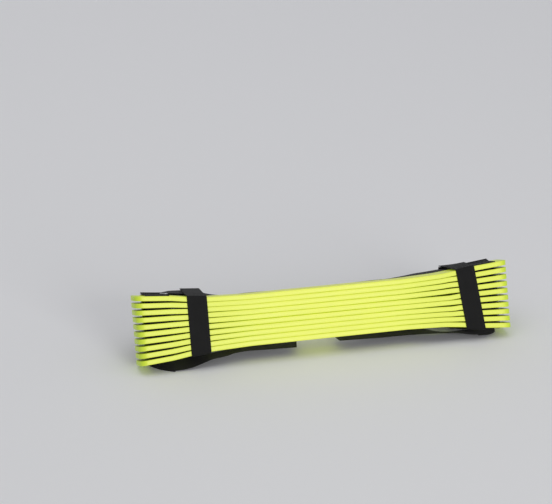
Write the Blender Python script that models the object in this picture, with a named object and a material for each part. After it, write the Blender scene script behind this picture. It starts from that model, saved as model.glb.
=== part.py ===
"""Agility ladder, stacked and tied: ten flat rungs on two webbing straps,
put away as a bundle with a hook-and-loop tie round each end."""

import math

import bmesh
import bpy
from mathutils import Matrix, Vector

# Driving dimensions, metres and radians

RUNG_COUNT = 10
RUNG_LENGTH = 0.480
RUNG_WIDTH = 0.038
RUNG_THICKNESS = 0.0059
RUNG_CORNER_RADIUS = 0.009
RUNG_EDGE_CHAMFER = 0.0008
RUNG_GAP_MIDDLE = 0.0005
RUNG_GAP_TIE_INSIDE = 0.0009
RUNG_GAP_TIE_OUTSIDE = 0.0015
RUNG_GAP_TIP = 0.0030

SLOT_SPACING = 0.026
SLOT_WIDTH = 0.0036
SLOT_END_PLAY = 0.002

WEB_WIDTH = 0.030
WEB_THICKNESS = 0.0007
WEB_CLEARANCE = 0.00026
WEB_TIP_MARGIN = 0.014
WEB_BEND_RADIUS = 0.0009

# The loops lie behind the stack and rise there by the height and shares below
LOOP_HALF_HEIGHT = 0.0024
LOOP_REAR_GAP = 0.001
LOOP_TURN_STEP = 0.004
LOOP_FOLD_RUNOUT = 0.002
LOOP_RISE = 0.0057
LEFT_RISE_INSETS = (0.0, 0.006, 0.012, 0.025, 0.036, 0.050, 0.060, 0.074)
RIGHT_RISE_INSETS = (0.0, 0.006, 0.015, 0.027, 0.040, 0.061, 0.080, 0.100)

FLOOR_GAP = 0.001
FLOOR_TURN_DEPTH = 0.040
FLOOR_FRONT_DEPTH = -0.028
FLOOR_FOLD_RADIUS = 0.0006

# The end tails rise from the floor as they run inwards under the stack
LEFT_TAIL_INSETS = (0.002, 0.013, 0.023, 0.035, 0.047, 0.067, 0.075, 0.093, 0.120, 0.154)
LEFT_TAIL_FRONT_RISES = (0.0, 0.0005, 0.0020, 0.0062, 0.0105, 0.0126, 0.0150, 0.0160, 0.0147, 0.0137)
LEFT_TAIL_REAR_RISES = (0.0, 0.0015, 0.0040, 0.0043, 0.0045, 0.0066, 0.0085, 0.0100, 0.0102, 0.0102)
RIGHT_TAIL_INSETS = (0.002, 0.013, 0.023, 0.036, 0.050, 0.064, 0.080, 0.100, 0.130, 0.182)
RIGHT_TAIL_FRONT_RISES = (0.0055, 0.0072, 0.0098, 0.0116, 0.0129, 0.0136, 0.0141, 0.0143, 0.0147, 0.0165)
RIGHT_TAIL_REAR_RISES = (0.0, 0.0, 0.0, 0.0006, 0.0026, 0.0078, 0.0100, 0.0104, 0.0105, 0.0102)

TIE_WIDTH = 0.025
TIE_THICKNESS = 0.0011
TIE_LEFT_INSET = 0.020
TIE_RIGHT_OVERLAP = 0.0034
TIE_FRONT_CLEARANCE = 0.0003
TIE_TOP_CLEARANCE = 0.0006
TIE_CORNER_RADIUS = 0.0022

TAB_LENGTH = 0.045
TAB_END_GAP = 0.0008
PAD_LENGTH = 0.038
PAD_THICKNESS = 0.0008
PAD_EDGE_MARGIN = 0.0012
TOUCH_GAP = 0.0003
FLATNESS = 0.00001

LEAN_ANGLE = math.radians(20)

# Shares of named sizes

FAN_START_SHARE = 0.42
LEVELLING_TOP_SHARE = -0.12
LEVELLING_BOTTOM_SHARE = 0.33
LEFT_RISE_SHARES = (0.0, 0.40, 0.65, 0.83, 0.95, 0.95, 0.40, 0.0)
RIGHT_RISE_SHARES = (0.0, 0.10, 0.25, 0.37, 0.42, 0.40, 0.20, 0.0)
LOOP_TURN_SHARE = 0.255
START_TAIL_LEFT_SHARE = 0.765
START_TAIL_RIGHT_SHARE = 0.90
END_TAIL_LEFT_SHARE = 0.214
END_TAIL_RIGHT_SHARE = 0.071
LEFT_TIE_SLANT_SHARE = 0.0
LEFT_TIE_TOP_SKEW_SHARE = 0.07
LEFT_TIE_BOTTOM_SKEW_SHARE = 0.0
RIGHT_TIE_SLANT_SHARE = 0.109
RIGHT_TIE_TOP_SKEW_SHARE = 0.0
RIGHT_TIE_BOTTOM_SKEW_SHARE = 0.226

SMOOTH_ANGLE = math.radians(35)
GENTLE_TURN = math.radians(15)
CORNER_STEPS = 3
BEND_STEPS = 2
FOLD_STEPS = 3
TURN_STEPS = 5

# Sizes that follow from the driving dimensions

HALF_LENGTH = RUNG_LENGTH / 2
HALF_WIDTH = RUNG_WIDTH / 2
HALF_THICKNESS = RUNG_THICKNESS / 2
HALF_WEB = WEB_THICKNESS / 2
WEB_OUTSIDE = HALF_LENGTH - WEB_TIP_MARGIN
WEB_INSIDE = WEB_OUTSIDE - WEB_WIDTH
RUNG_GAP_WEB = 2 * WEB_THICKNESS + 3 * WEB_CLEARANCE
LAYER_HEIGHT = HALF_THICKNESS + WEB_CLEARANCE + HALF_WEB
LAYER_STEP = WEB_THICKNESS + WEB_CLEARANCE
SLOT_REACH = SLOT_SPACING / 2
LOOP_FRONT = HALF_WIDTH + LOOP_REAR_GAP
LOOP_REAR = LOOP_FRONT + WEB_WIDTH
LOOP_DEPTH = LOOP_REAR - HALF_WIDTH
LOOP_FOLD_RADIUS = (LAYER_HEIGHT - LOOP_HALF_HEIGHT) / 2
LEVELLING_STEP_SHARE = (LEVELLING_BOTTOM_SHARE - LEVELLING_TOP_SHARE) / (RUNG_COUNT - 1)
REAR_SQUEEZE_SHARE = math.tan(LEAN_ANGLE) * LOOP_DEPTH * LEVELLING_STEP_SHARE / (2 * LAYER_HEIGHT)
FLAT_TAIL_HEIGHT = HALF_WEB + 2 * FLOOR_FOLD_RADIUS
TIE_LEFT_OUTSIDE = WEB_INSIDE - TIE_LEFT_INSET
TIE_LEFT_INSIDE = TIE_LEFT_OUTSIDE - TIE_WIDTH
TIE_RIGHT_OUTSIDE = WEB_INSIDE + TIE_RIGHT_OVERLAP
HALF_TIE = TIE_THICKNESS / 2

FAN_PLACES = (
    0.0, FAN_START_SHARE * HALF_LENGTH, TIE_LEFT_INSIDE, TIE_LEFT_OUTSIDE, WEB_INSIDE, HALF_LENGTH,
)
FAN_GAPS = (
    RUNG_GAP_MIDDLE, RUNG_GAP_MIDDLE, RUNG_GAP_TIE_INSIDE, RUNG_GAP_TIE_OUTSIDE, RUNG_GAP_WEB, RUNG_GAP_TIP,
)

NEON = (0.70, 0.86, 0.06, 1.0)
WEB_BLACK = (0.016, 0.016, 0.019, 1.0)
TIE_BLACK = (0.019, 0.019, 0.023, 1.0)
PAD_BLACK = (0.026, 0.026, 0.028, 1.0)


# The fan: the rungs lie close in the middle and spread towards their ends

def between(places, values, place):
    """The value at a place, along the straight lines through a table of rising places."""
    if place <= places[0]:
        return values[0]
    for index in range(1, len(places)):
        if place <= places[index]:
            share = (place - places[index - 1]) / (places[index] - places[index - 1])
            return values[index - 1] + share * (values[index] - values[index - 1])
    return values[-1]


def pitch(place):
    """Distance between neighbouring rung centres at a distance from the middle."""
    return RUNG_THICKNESS + between(FAN_PLACES, FAN_GAPS, abs(place))


def steps_up(level):
    """How many pitches a rung lies above the middle of the stack."""
    return (RUNG_COUNT - 1) / 2 - level


def rung_height(level, place):
    return steps_up(level) * pitch(place)


def rear_share(depth):
    """How far back a point lies in the loops: 0 at the rungs' rear edge, 1 at the loops' rear edge."""
    return max(depth - HALF_WIDTH, 0.0) / LOOP_DEPTH


def rear_lift(level, depth, rise_share):
    """Behind the stack the low loops turn towards level, and all rise by a share of the named rise."""
    levelling = LEVELLING_TOP_SHARE + LEVELLING_STEP_SHARE * level
    full = math.tan(LEAN_ANGLE) * LOOP_DEPTH * levelling
    full += LOOP_RISE * rise_share * (1 - level / (RUNG_COUNT - 1))
    return full * rear_share(depth)


STACK_HEIGHT = (
    (HALF_THICKNESS - rung_height(RUNG_COUNT - 1, HALF_LENGTH)) * math.cos(LEAN_ANGLE)
    + HALF_WIDTH * math.sin(LEAN_ANGLE)
    + FLOOR_GAP
)


def from_floor(place, depth, height):
    """Stack coordinates of a point given upright over the floor."""
    drop = height - STACK_HEIGHT
    return Vector((
        place,
        depth * math.cos(LEAN_ANGLE) - drop * math.sin(LEAN_ANGLE),
        depth * math.sin(LEAN_ANGLE) + drop * math.cos(LEAN_ANGLE),
    ))


FLOOR_NORMAL = Vector((0.0, -math.sin(LEAN_ANGLE), math.cos(LEAN_ANGLE)))


# Scene helpers

def clear_scene():
    for item in list(bpy.data.objects):
        bpy.data.objects.remove(item, do_unlink=True)


def make_material(name, colour, roughness):
    material = bpy.data.materials.new(name)
    material.use_nodes = True
    shader = material.node_tree.nodes["Principled BSDF"]
    shader.inputs["Base Color"].default_value = colour
    shader.inputs["Roughness"].default_value = roughness
    shader.inputs["Metallic"].default_value = 0.0
    material.diffuse_color = colour
    return material


def make_object(name, bm, origin, parent, material):
    """One named object whose mesh was built in stack coordinates."""
    bmesh.ops.translate(bm, verts=bm.verts, vec=-origin)
    bmesh.ops.recalc_face_normals(bm, faces=bm.faces)
    mesh = bpy.data.meshes.new(name)
    bm.to_mesh(mesh)
    bm.free()
    mesh.shade_smooth()
    mesh.set_sharp_from_angle(angle=SMOOTH_ANGLE)
    item = bpy.data.objects.new(name, mesh)
    item.data.materials.append(material)
    item.location = origin
    item.parent = parent
    bpy.context.scene.collection.objects.link(item)
    return item


# Rungs

def rung_stations():
    """Outline stations from the middle to one tip: outer and inner edge, slot column or not."""
    straight = HALF_LENGTH - RUNG_CORNER_RADIUS
    slot_inside = WEB_INSIDE - SLOT_END_PLAY
    slot_outside = WEB_OUTSIDE + SLOT_END_PLAY
    inner_edge = HALF_WIDTH - RUNG_EDGE_CHAMFER
    stations = [(place, HALF_WIDTH, place, inner_edge, False) for place in FAN_PLACES[1:-2]]
    for place in (slot_inside, WEB_INSIDE, slot_outside):
        stations.append((place, HALF_WIDTH, place, inner_edge, True))
    edge = HALF_WIDTH - RUNG_CORNER_RADIUS
    for step in range(CORNER_STEPS + 1):
        angle = step * math.pi / 2 / CORNER_STEPS
        small = RUNG_CORNER_RADIUS - RUNG_EDGE_CHAMFER
        stations.append((
            straight + RUNG_CORNER_RADIUS * math.sin(angle),
            edge + RUNG_CORNER_RADIUS * math.cos(angle),
            straight + small * math.sin(angle),
            edge + small * math.cos(angle),
            False,
        ))
    return stations


def mirrored_stations():
    half = rung_stations()
    left = [(-a, b, -c, d, slot) for a, b, c, d, slot in reversed(half)]
    return left + half


def slot_rows(edge):
    near = SLOT_REACH - SLOT_WIDTH / 2
    far = SLOT_REACH + SLOT_WIDTH / 2
    return [-edge, -far, -near, near, far, edge]


def build_rung_mesh(level):
    """A flat bar that follows the fan, with two slots for the webbing at each end."""
    bm = bmesh.new()
    columns = []
    for outer_x, outer_y, inner_x, inner_y, has_slot in mirrored_stations():
        rows = slot_rows(inner_y) if has_slot else [-inner_y, inner_y]
        column = {"slot": has_slot}
        for side, sign in (("top", 1), ("bottom", -1)):
            height = rung_height(level, inner_x) + sign * HALF_THICKNESS
            column[side] = [bm.verts.new((inner_x, row, height)) for row in rows]
            low = rung_height(level, outer_x) + sign * (HALF_THICKNESS - RUNG_EDGE_CHAMFER)
            column[side + " edge"] = [bm.verts.new((outer_x, sign_y * outer_y, low)) for sign_y in (-1, 1)]
        columns.append(column)
    for near, far in zip(columns, columns[1:]):
        both = near["slot"] and far["slot"]
        for side in ("top", "bottom"):
            if both:
                for row in (0, 2, 4):
                    bm.faces.new((near[side][row], far[side][row], far[side][row + 1], near[side][row + 1]))
            else:
                bm.faces.new(near[side] + list(reversed(far[side])))
            for end, edge in ((0, 0), (-1, 1)):
                bm.faces.new((
                    near[side][end], far[side][end], far[side + " edge"][edge], near[side + " edge"][edge],
                ))
        for edge in (0, 1):
            bm.faces.new((
                near["top edge"][edge], far["top edge"][edge], far["bottom edge"][edge], near["bottom edge"][edge],
            ))
        if both:
            for row in (1, 2, 3, 4):
                bm.faces.new((near["top"][row], far["top"][row], far["bottom"][row], near["bottom"][row]))
    for index, column in enumerate(columns):
        if not column["slot"]:
            continue
        first = not columns[index - 1]["slot"]
        last = not columns[index + 1]["slot"]
        if first or last:
            for row in (1, 3):
                bm.faces.new((
                    column["top"][row], column["top"][row + 1], column["bottom"][row + 1], column["bottom"][row],
                ))
    for column in (columns[0], columns[-1]):
        for side in ("top", "bottom"):
            bm.faces.new(column[side] + list(reversed(column[side + " edge"])))
        bm.faces.new(column["top edge"] + list(reversed(column["bottom edge"])))
    return bm


# Flat ribbons: a ribbon is a list of stations, each with its two edges and the way it faces

def add_panel(bm, near_first, near_second, far_second, far_first):
    """One panel of a ribbon's face. A twisted one is split along the same diagonal in every layer."""
    corners = [vert.co for vert in (near_first, near_second, far_second, far_first)]
    normal = (corners[1] - corners[0]).cross(corners[3] - corners[0]).normalized()
    if abs(normal.dot(corners[2] - corners[0])) < FLATNESS:
        bm.faces.new((near_first, near_second, far_second, far_first))
        return
    reference = Vector((1.0, 1.0, 0.0))
    straight = abs(reference.dot(corners[2] - corners[0]))
    crossed = abs(reference.dot(corners[3] - corners[1]))
    if straight > crossed:
        bm.faces.new((near_first, near_second, far_second))
        bm.faces.new((near_first, far_second, far_first))
    else:
        bm.faces.new((near_first, near_second, far_first))
        bm.faces.new((near_second, far_second, far_first))


class Ribbon:
    def __init__(self, thickness, side):
        self.half = thickness / 2
        self.side = side
        self.stations = []

    def add(self, first, second, facing, other_facing=None):
        self.stations.append((first, second, facing, other_facing or facing))

    def build(self):
        """The closed solid, on the right for side 1 and mirrored to the left for side -1."""
        bm = bmesh.new()
        rings = []
        for first, second, facing, other in self.stations:
            facing = facing.normalized() * self.half
            other = other.normalized() * self.half
            corners = (first + facing, second + other, second - other, first - facing)
            rings.append([bm.verts.new(corner) for corner in corners])
        for near, far in zip(rings, rings[1:]):
            add_panel(bm, near[0], near[1], far[1], far[0])
            add_panel(bm, near[3], near[2], far[2], far[3])
            bm.faces.new((near[1], near[2], far[2], far[1]))
            bm.faces.new((near[3], near[0], far[0], far[3]))
        bm.faces.new(rings[0])
        bm.faces.new(rings[-1])
        bmesh.ops.scale(bm, vec=(self.side, 1, 1), verts=bm.verts)
        return bm


UP = Vector((0.0, 0.0, 1.0))


def rise_tables(side):
    if side < 0:
        return LEFT_RISE_INSETS, LEFT_RISE_SHARES
    return RIGHT_RISE_INSETS, RIGHT_RISE_SHARES


def webbing_point(side, level, place, depth, offset):
    """A point near a rung: its height is counted from that rung's centre plane."""
    rise_share = between(*rise_tables(side), WEB_INSIDE - place)
    squeezed = offset * (1 - REAR_SQUEEZE_SHARE * rear_share(depth))
    height = rung_height(level, place) + squeezed + rear_lift(level, depth, rise_share)
    return Vector((place, depth, height))


def add_across(ribbon, level, depth, offset, facing=UP):
    """A station across the webbing where it runs fore and aft."""
    ribbon.add(
        webbing_point(ribbon.side, level, WEB_INSIDE, depth, offset),
        webbing_point(ribbon.side, level, WEB_OUTSIDE, depth, offset),
        facing,
    )


def add_bend(ribbon, level, centre_depth, centre_offset, start, sweep):
    """A quarter turn about an axis along the rung, on the named bend radius."""
    for step in range(BEND_STEPS + 1):
        angle = start + sweep * step / BEND_STEPS
        out = Vector((0.0, math.cos(angle), math.sin(angle)))
        facing = out if sweep > 0 else -out
        add_across(
            ribbon, level,
            centre_depth + WEB_BEND_RADIUS * math.cos(angle),
            centre_offset + WEB_BEND_RADIUS * math.sin(angle),
            facing,
        )


def thread_rung(ribbon, level):
    """In from behind, down the front slot, back under the bridge, up the rear slot and out behind."""
    radius = WEB_BEND_RADIUS
    upper = LAYER_HEIGHT + LAYER_STEP
    quarter = math.pi / 2
    bend_height = LAYER_HEIGHT - radius
    # Over the rear slot it slips down midway between this rung's bend and the next rung's bend
    bends_apart = RUNG_THICKNESS + RUNG_GAP_WEB - 2 * bend_height
    reach = LAYER_STEP * bends_apart / (4 * radius)
    add_across(ribbon, level, SLOT_REACH + reach, upper)
    add_across(ribbon, level, SLOT_REACH - reach, LAYER_HEIGHT)
    add_bend(ribbon, level, -SLOT_REACH + radius, bend_height, quarter, quarter)
    add_bend(ribbon, level, -SLOT_REACH + radius, -bend_height, 2 * quarter, quarter)
    add_bend(ribbon, level, SLOT_REACH - radius, -bend_height, -quarter, quarter)
    add_bend(ribbon, level, SLOT_REACH + radius, bend_height, 2 * quarter, -quarter)


def add_rear_fold(ribbon, level, offset, outwards):
    """The ribbon is turned through a right angle over a slanting crease behind the stack."""
    radius = LOOP_FOLD_RADIUS
    slant = Vector((1.0, 1.0, 0.0)).normalized()
    across = [(WEB_INSIDE, LOOP_FRONT - LOOP_FOLD_RUNOUT), (WEB_OUTSIDE, LOOP_FRONT - LOOP_FOLD_RUNOUT)]
    along = [(WEB_INSIDE - LOOP_FOLD_RUNOUT, LOOP_REAR), (WEB_INSIDE - LOOP_FOLD_RUNOUT, LOOP_FRONT)]
    crease = [(WEB_INSIDE, LOOP_REAR), (WEB_OUTSIDE, LOOP_FRONT)]

    def flat(points, height, facing):
        first, second = [
            webbing_point(ribbon.side, level, place, depth, height) for place, depth in points
        ]
        ribbon.add(first, second, facing)

    flat(across if outwards else along, offset, -UP)
    for step in range(FOLD_STEPS + 1):
        angle = math.pi * step / FOLD_STEPS
        facing = slant * math.sin(angle) + UP * math.cos(angle)
        first, second = [
            webbing_point(ribbon.side, level, place, depth, offset - radius) for place, depth in crease
        ]
        ribbon.add(first + facing * radius, second + facing * radius, -facing)
    flat(along if outwards else across, offset - 2 * radius, UP)


def run_places(side, end):
    """Where a run behind the stack changes slope between the fold and its end, from outside to inside."""
    insets, _ = rise_tables(side)
    wanted = list(FAN_PLACES[1:-2]) + [WEB_INSIDE - inset for inset in insets[1:]]
    places = []
    for place in sorted(wanted, reverse=True):
        before = places[-1] if places else WEB_INSIDE - LOOP_FOLD_RUNOUT
        if before - place > WEB_THICKNESS and place - end > WEB_THICKNESS:
            places.append(place)
    return places


def add_run(ribbon, level, places, offset, facing):
    for place in places:
        ribbon.add(
            webbing_point(ribbon.side, level, place, LOOP_REAR, offset),
            webbing_point(ribbon.side, level, place, LOOP_FRONT, offset),
            facing,
        )


def add_loop(ribbon, level):
    """One spare length of webbing, folded inwards behind the stack and back again."""
    turn = LOOP_TURN_SHARE * WEB_INSIDE + LOOP_TURN_STEP * (level % 3)
    reach = LOOP_HALF_HEIGHT
    places = run_places(ribbon.side, turn)
    add_rear_fold(ribbon, level, LAYER_HEIGHT, True)
    add_run(ribbon, level, places, reach, UP)
    for step in range(TURN_STEPS + 1):
        angle = math.pi / 2 + math.pi * step / TURN_STEPS
        out = Vector((math.cos(angle), 0.0, math.sin(angle)))
        add_run(ribbon, level, [turn + reach * out.x], reach * out.z, out)
    add_run(ribbon, level, reversed(places), -reach, -UP)
    add_rear_fold(ribbon, level, -reach, False)


def add_start_tail(ribbon, end):
    """The first end lies inwards behind the stack and turns in over the top rung."""
    level = -1
    places = run_places(ribbon.side, end) + [end]
    add_run(ribbon, level, reversed(places), -LOOP_HALF_HEIGHT, -UP)
    add_rear_fold(ribbon, level, -LOOP_HALF_HEIGHT, False)


def add_floor_turn(ribbon, level):
    """Out behind the lowest rung, then down and forward onto the floor."""
    add_across(ribbon, level, HALF_WIDTH, LAYER_HEIGHT, -UP)
    leg_start = webbing_point(ribbon.side, level, WEB_INSIDE, HALF_WIDTH, LAYER_HEIGHT)
    leg_end = webbing_point(ribbon.side, level, WEB_INSIDE, FLOOR_TURN_DEPTH, LAYER_HEIGHT)
    leg_angle = math.atan2(leg_end.z - leg_start.z, leg_end.y - leg_start.y)
    floor_drop = STACK_HEIGHT - HALF_WEB - FLOOR_TURN_DEPTH * math.sin(LEAN_ANGLE)
    floor_height = -floor_drop / math.cos(LEAN_ANGLE)
    leg_share = math.cos(leg_angle)
    floor_share = math.cos(LEAN_ANGLE)
    arcs = []
    for place in (WEB_INSIDE, WEB_OUTSIDE):
        leg = webbing_point(ribbon.side, level, place, FLOOR_TURN_DEPTH, LAYER_HEIGHT)
        middle = (leg.z * leg_share + floor_height * floor_share) / (leg_share + floor_share)
        arcs.append((Vector((place, FLOOR_TURN_DEPTH, middle)), (leg.z - middle) * leg_share))
    start = math.pi / 2 + leg_angle
    finish = LEAN_ANGLE - math.pi / 2
    for step in range(TURN_STEPS + 1):
        angle = start + (finish - start) * step / TURN_STEPS
        out = Vector((0.0, math.cos(angle), math.sin(angle)))
        edges = [centre + out * radius for centre, radius in arcs]
        ribbon.add(edges[0], edges[1], -out)


def tail_tables(side):
    if side < 0:
        return LEFT_TAIL_INSETS, LEFT_TAIL_FRONT_RISES, LEFT_TAIL_REAR_RISES
    return RIGHT_TAIL_INSETS, RIGHT_TAIL_FRONT_RISES, RIGHT_TAIL_REAR_RISES


def add_end_tail(ribbon, end):
    """Along the floor, folded over at the front and led inwards under the stack."""
    insets, front_rises, rear_rises = tail_tables(ribbon.side)
    radius = FLOOR_FOLD_RADIUS
    front = FLOOR_FRONT_DEPTH
    rear = front + WEB_WIDTH
    slant = Vector((1.0, -1.0, 0.0)).normalized()
    before = rear + LOOP_FOLD_RUNOUT
    ribbon.add(
        from_floor(WEB_INSIDE, before, HALF_WEB), from_floor(WEB_OUTSIDE, before, HALF_WEB), FLOOR_NORMAL,
    )
    base = from_floor(0.0, 0.0, 0.0)
    for step in range(FOLD_STEPS + 1):
        angle = math.pi * step / FOLD_STEPS
        reach = slant * radius * math.sin(angle)
        height = HALF_WEB + radius - radius * math.cos(angle)
        edges = [
            from_floor(place + reach.x, depth + reach.y, height + rise)
            for place, depth, rise in ((WEB_INSIDE, front, front_rises[0]), (WEB_OUTSIDE, rear, 0.0))
        ]
        facing = from_floor(slant.x * math.sin(angle), slant.y * math.sin(angle), -math.cos(angle)) - base
        ribbon.add(edges[0], edges[1], -facing)
    last = WEB_INSIDE - end
    for inset in [inset for inset in insets if last - inset > WEB_THICKNESS] + [last]:
        front_rise = between(insets, front_rises, inset)
        rear_rise = between(insets, rear_rises, inset)
        tilt = math.asin((front_rise - rear_rise) / WEB_WIDTH)
        place = WEB_INSIDE - inset
        ribbon.add(
            from_floor(place, front, FLAT_TAIL_HEIGHT + front_rise),
            from_floor(place, front + WEB_WIDTH * math.cos(tilt), FLAT_TAIL_HEIGHT + rear_rise),
            base - from_floor(0.0, math.sin(tilt), math.cos(tilt)),
        )


def build_side_webbing(side, start_share, end_share):
    """One side strap, from its first end over the top rung to its last end under the stack."""
    ribbon = Ribbon(WEB_THICKNESS, side)
    add_start_tail(ribbon, start_share * WEB_INSIDE)
    for level in range(RUNG_COUNT):
        thread_rung(ribbon, level)
        if level < RUNG_COUNT - 1:
            add_loop(ribbon, level)
    add_floor_turn(ribbon, RUNG_COUNT - 1)
    add_end_tail(ribbon, end_share * WEB_INSIDE)
    return ribbon.build()


# Ties: a strap round each end of the stack, closed behind with hook and loop

def tie_edges(side):
    outside = TIE_LEFT_OUTSIDE if side < 0 else TIE_RIGHT_OUTSIDE
    return outside - TIE_WIDTH, outside


def tie_skews(side):
    if side < 0:
        return LEFT_TIE_SLANT_SHARE, LEFT_TIE_TOP_SKEW_SHARE, LEFT_TIE_BOTTOM_SKEW_SHARE
    return RIGHT_TIE_SLANT_SHARE, RIGHT_TIE_TOP_SKEW_SHARE, RIGHT_TIE_BOTTOM_SKEW_SHARE


def tie_place(side, edge, depth, height):
    """The ties lie askew: their edges move inwards with the height and with the depth."""
    slant, top_skew, bottom_skew = tie_skews(side)
    height_share = (1 + height / rung_height(0, edge)) / 2
    skew = bottom_skew + (top_skew - bottom_skew) * height_share
    return edge - slant * height - skew * (depth + HALF_WIDTH)


def tab_depth():
    """Centre plane of the tab: outside the band, the loop pad and the hook pad."""
    rear = LOOP_REAR + TIE_TOP_CLEARANCE + TIE_THICKNESS
    return rear + 2 * PAD_THICKNESS + 3 * TOUCH_GAP + HALF_TIE


def loop_height(level, place, depth, rise_share):
    """Centre height of a loop's lower run at a depth."""
    squeezed = LOOP_HALF_HEIGHT * (1 - REAR_SQUEEZE_SHARE * rear_share(depth))
    return rung_height(level, place) - squeezed + rear_lift(level, depth, rise_share)


def tie_outline(side, edge, under_gap):
    """Corners of the tie's centre line in depth and height, from the rear top round to the rear."""
    gap = TIE_TOP_CLEARANCE + HALF_TIE
    front = -HALF_WIDTH - TIE_FRONT_CLEARANCE - HALF_TIE
    rear = LOOP_REAR + gap
    heel = HALF_WIDTH + TIE_TOP_CLEARANCE
    last = RUNG_COUNT - 1
    above = rung_height(0, edge)
    over_place = tie_place(side, edge, front, above)
    rear_place = tie_place(side, edge, LOOP_FRONT, above)
    under_place = tie_place(side, edge, front, rung_height(last, edge))
    over = rung_height(0, over_place) + HALF_THICKNESS + gap
    under = rung_height(last, under_place) - HALF_THICKNESS - under_gap - HALF_TIE
    rise_share = between(*rise_tables(side), WEB_INSIDE - rear_place)
    rear_top = loop_height(-1, rear_place, LOOP_REAR, rise_share) + HALF_WEB + gap
    rear_bottom = loop_height(last - 1, under_place, LOOP_REAR, 0.0) - HALF_WEB - gap
    straight = over + (rear_top - over) * (LOOP_FRONT - front) / (rear - front)
    bend = max(loop_height(-1, rear_place, LOOP_FRONT, rise_share) + HALF_WEB + gap, straight)
    slope = (rear_top - bend) / (rear - LOOP_FRONT)
    peak = rear_top + slope * (tab_depth() - rear)
    stop = rear_top - TIE_THICKNESS - TOUCH_GAP
    return [
        (tab_depth(), peak), (LOOP_FRONT, bend), (front, over), (front, under), (heel, under),
        (rear, rear_bottom), (rear, stop),
    ]


def rounded_path(corners, radius):
    """Points and directions along a polyline whose inner corners are rounded."""
    points = [Vector(corner) for corner in corners]
    path = [(points[0], (points[1] - points[0]).normalized())]
    for before, corner, after in zip(points, points[1:], points[2:]):
        arriving = (corner - before).normalized()
        leaving = (after - corner).normalized()
        turn = math.acos(max(-1.0, min(1.0, arriving.dot(leaving))))
        if turn < GENTLE_TURN:
            path.append((corner, (arriving + leaving).normalized()))
            continue
        cut = radius * math.tan(turn / 2)
        side = 1 if arriving.x * leaving.y - arriving.y * leaving.x > 0 else -1
        normal = Vector((-arriving.y, arriving.x)) * side
        centre = corner - arriving * cut + normal * radius
        for step in range(BEND_STEPS + 1):
            angle = side * turn * step / BEND_STEPS
            turned = Matrix.Rotation(angle, 2)
            path.append((centre - turned @ (normal * radius), turned @ arriving))
    path.append((points[-1], (points[-1] - points[-2]).normalized()))
    return path


def build_tie_band(side):
    """The strap itself. The right one also passes under the webbing below the last rung."""
    ribbon = Ribbon(TIE_THICKNESS, side)
    under_gap = TIE_TOP_CLEARANCE
    if side > 0:
        under_gap += LAYER_STEP
    paths = [
        rounded_path(tie_outline(side, edge, under_gap), TIE_CORNER_RADIUS) for edge in tie_edges(side)
    ]
    for inner, outer in zip(*paths):
        stations = []
        for edge, (point, heading) in zip(tie_edges(side), (inner, outer)):
            place = tie_place(side, edge, point.x, point.y)
            facing = Vector((0.0, heading.y, -heading.x))
            stations.append((Vector((place, point.x, point.y)), facing))
        ribbon.add(stations[0][0], stations[1][0], stations[0][1], stations[1][1])
    return ribbon.build()


def rear_panel(side, depth, thickness, top_drop, length, margin):
    """A flat strip behind the stack, hanging from under the tie's rear top corner."""
    ribbon = Ribbon(thickness, side)
    tops = [tie_outline(side, edge, TIE_TOP_CLEARANCE)[0][1] for edge in tie_edges(side)]
    top = min(tops) - top_drop
    for height in (top, top - length):
        edges = []
        for edge, inset in zip(tie_edges(side), (margin, -margin)):
            place = tie_place(side, edge + inset, depth, height)
            edges.append(Vector((place, depth, height)))
        ribbon.add(edges[0], edges[1], Vector((0.0, 1.0, 0.0)))
    return ribbon.build(), Vector((side * sum(tie_edges(side)) / 2, depth, top))


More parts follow.
